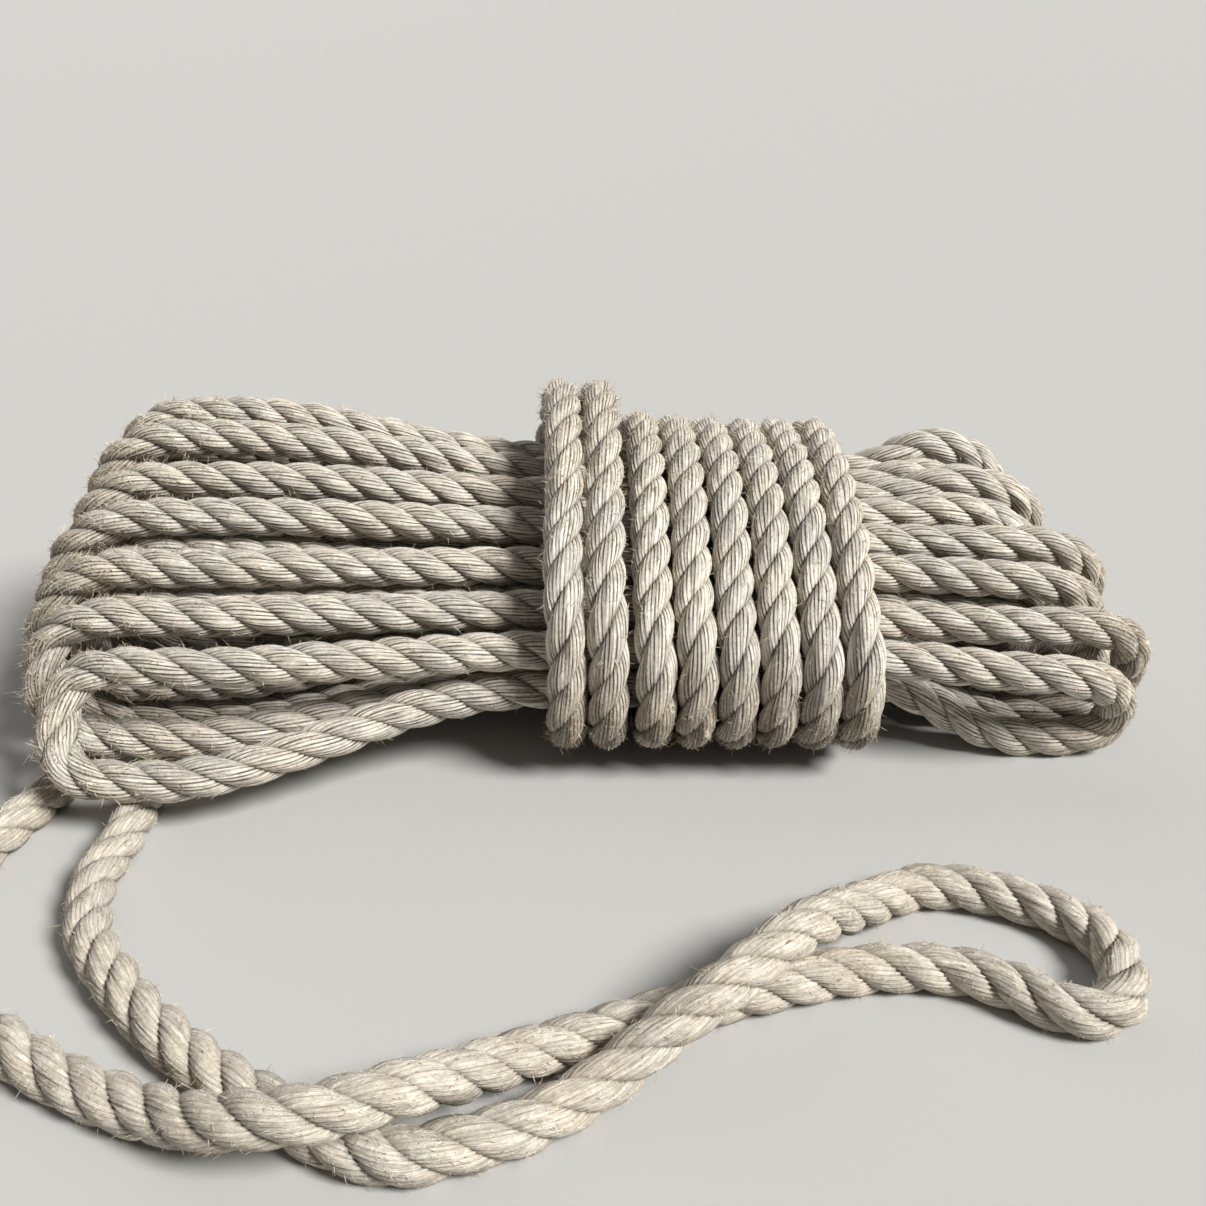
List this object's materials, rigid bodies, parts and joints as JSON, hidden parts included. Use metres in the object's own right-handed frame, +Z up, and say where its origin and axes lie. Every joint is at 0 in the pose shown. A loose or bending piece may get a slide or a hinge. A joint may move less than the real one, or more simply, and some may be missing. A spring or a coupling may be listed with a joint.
{
  "type": "laid rope hank",
  "caption": "Laid natural-fibre rope made up as a flat hank, its waist bound by turns of the same rope, with a doubled end of the rope lying loose in front.",
  "frame": {"origin": "middle of the whole object's floor box, on the surface it lies on", "axes": "+X along the hank from its open left end to its right end, +Y from the loose doubled end towards the hank, +Z up"},
  "size_m": [0.291, 0.2256, 0.0847],
  "materials": {
    "rope": "matt laid natural fibre, slightly hairy"
  },
  "bodies": {
    "root": {"hank_loops": "rope", "waist_turns": "rope", "loose_bight": "rope"}
  },
  "joints": []
}
